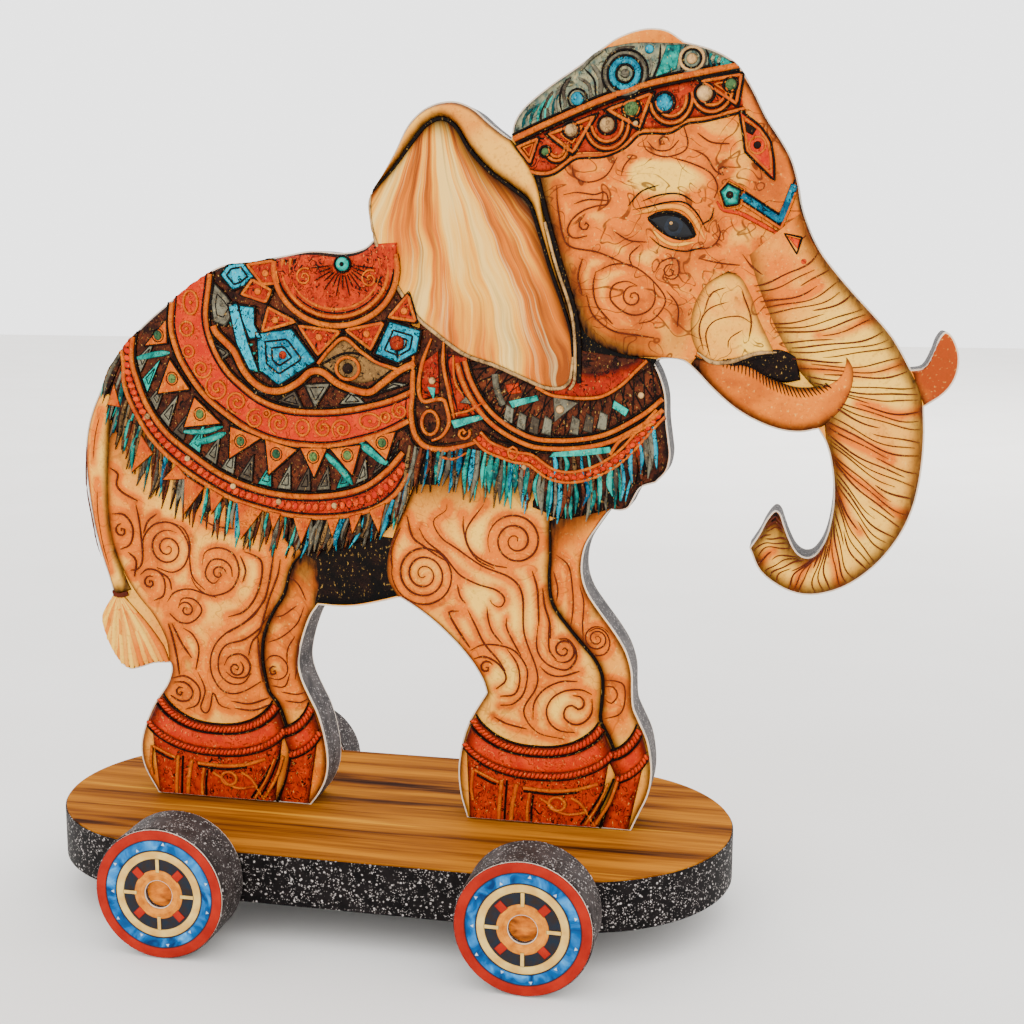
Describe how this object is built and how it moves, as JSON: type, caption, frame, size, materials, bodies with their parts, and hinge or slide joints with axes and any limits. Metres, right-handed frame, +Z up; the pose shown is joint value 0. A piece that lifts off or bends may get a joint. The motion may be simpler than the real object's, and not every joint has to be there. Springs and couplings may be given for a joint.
{
  "type": "wooden elephant figurine on wheels",
  "caption": "Flat board-cut elephant with printed ornament on both sides, standing on a round-ended deck that rolls on disc wheels glued to dowel axles.",
  "frame": {"origin": "on the ground, under the middle of the whole object's length and width", "axes": "+X towards the trunk, +Y to the elephant's left, +Z up; the wheels stand on z = 0"},
  "size_m": [0.2134, 0.1, 0.2047],
  "materials": {
    "painted_board_edge": "dark grey paint with white speckle on the sawn edges",
    "elephant_print": "printed and varnished sheet, orange and cream skin with red, gold and turquoise ornament",
    "deck_edge": "black paint with white speckle",
    "deck_print": "honey-brown wood-grain print, satin varnish",
    "dowel": "oiled hardwood dowel",
    "wheel_tread": "dark brown-grey paint with white speckle",
    "wheel_print": "printed ring sheet in red, blue, cream and gold"
  },
  "bodies": {
    "elephant_and_deck": {"elephant_board": "painted_board_edge", "elephant_right_print": "elephant_print", "elephant_left_print": "elephant_print", "deck_board": "deck_edge", "deck_top_print": "deck_print"},
    "front_wheelset": {"front_axle": "dowel", "front_right_wheel": "wheel_tread", "front_left_wheel": "wheel_tread", "front_right_wheel_outer_print": "wheel_print", "front_right_wheel_inner_print": "wheel_print", "front_left_wheel_outer_print": "wheel_print", "front_left_wheel_inner_print": "wheel_print"},
    "rear_wheelset": {"rear_axle": "dowel", "rear_right_wheel": "wheel_tread", "rear_left_wheel": "wheel_tread", "rear_right_wheel_outer_print": "wheel_print", "rear_right_wheel_inner_print": "wheel_print", "rear_left_wheel_outer_print": "wheel_print", "rear_left_wheel_inner_print": "wheel_print"}
  },
  "joints": [
    {"name": "front_axle_roll", "type": "hinge", "parent": "elephant_and_deck", "child": "front_wheelset", "pos_m": [0.02029, 0, 0.01525], "axis": [0, 1, 0], "continuous": true},
    {"name": "rear_axle_roll", "type": "hinge", "parent": "elephant_and_deck", "child": "rear_wheelset", "pos_m": [-0.06226, 0, 0.01525], "axis": [0, 1, 0], "continuous": true}
  ]
}
